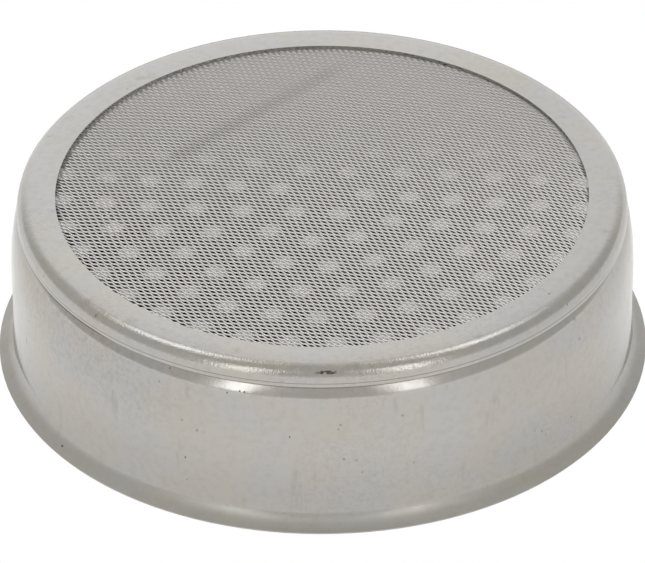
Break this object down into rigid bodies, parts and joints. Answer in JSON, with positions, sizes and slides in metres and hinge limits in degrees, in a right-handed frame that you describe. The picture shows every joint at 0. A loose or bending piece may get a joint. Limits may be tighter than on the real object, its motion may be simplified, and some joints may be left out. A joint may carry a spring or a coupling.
{
  "type": "espresso shower screen",
  "caption": "Round stainless shower screen for an espresso brewing group: a flared cup with a perforated face, covered by a woven mesh under a pressed cap ring.",
  "frame": {"origin": "centre of the mouth, on the plane that the flared rim stands on", "axes": "+Z along the axis, out of the mesh face"},
  "size_m": [0.06, 0.06, 0.0166],
  "materials": {
    "body_steel": "satin drawn stainless sheet",
    "mesh_steel": "woven stainless wire",
    "ring_steel": "satin drawn stainless sheet"
  },
  "bodies": {
    "root": {"body": "body_steel", "mesh_disc": "mesh_steel", "retaining_ring": "ring_steel"}
  },
  "joints": []
}
